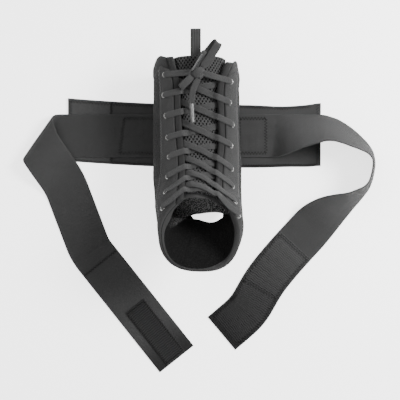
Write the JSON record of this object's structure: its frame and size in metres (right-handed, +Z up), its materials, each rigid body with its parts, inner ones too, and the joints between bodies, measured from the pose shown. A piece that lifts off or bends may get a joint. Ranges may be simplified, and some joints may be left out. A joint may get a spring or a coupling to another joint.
{
  "type": "ankle support",
  "caption": "Lace-up padded ankle support lying on its back, open at the leg, foot and heel, with a tied bow and two wide elastic wrap straps sewn to a band behind the leg.",
  "frame": {"origin": "on the floor under the middle of the whole object's bounding box", "axes": "+Z up from the floor, laces up; +Y from the foot towards the leg opening; +X from the left strap to the right strap"},
  "size_m": [0.4082, 0.3882, 0.1152],
  "materials": {
    "body": "matt padded cloth, charcoal",
    "facing": "matt woven cloth, charcoal",
    "spacer_mesh": "open spacer mesh, charcoal",
    "lace": "flat woven lace and webbing, dark grey",
    "elastic": "ribbed elastic, charcoal",
    "pad": "hook and loop tape, near black",
    "clear_tip": "clear film over the lace",
    "nickel": "nickel plated, semi-gloss"
  },
  "bodies": {
    "root": {"aglet_lower": "clear_tip", "aglet_upper": "clear_tip", "back_band": "elastic", "back_panel": "body", "band_end_pad": "pad", "bow_loop_lower": "lace", "bow_loop_upper": "lace", "foot_rim_binding": "facing", "lace_a": "lace", "lace_b": "lace", "lace_bottom_bar": "lace", "lace_knot": "lace", "lace_tail_lower": "lace", "lace_tail_upper": "lace", "left_eyelet_1": "nickel", "left_eyelet_2": "nickel", "left_eyelet_3": "nickel", "left_eyelet_4": "nickel", "left_eyelet_5": "nickel", "left_eyelet_6": "nickel", "left_eyelet_7": "nickel", "left_eyelet_8": "nickel", "left_eyelet_panel": "facing", "left_hook_pad": "pad", "left_quarter": "body", "left_slit_hem": "body", "left_strap": "elastic", "pull_tab": "lace", "right_eyelet_1": "nickel", "right_eyelet_2": "nickel", "right_eyelet_3": "nickel", "right_eyelet_4": "nickel", "right_eyelet_5": "nickel", "right_eyelet_6": "nickel", "right_eyelet_7": "nickel", "right_eyelet_8": "nickel", "right_eyelet_panel": "facing", "right_loop_pad": "pad", "right_quarter": "body", "right_slit_hem": "body", "right_strap": "elastic", "sole_panel": "body", "tongue": "spacer_mesh"}
  },
  "joints": []
}
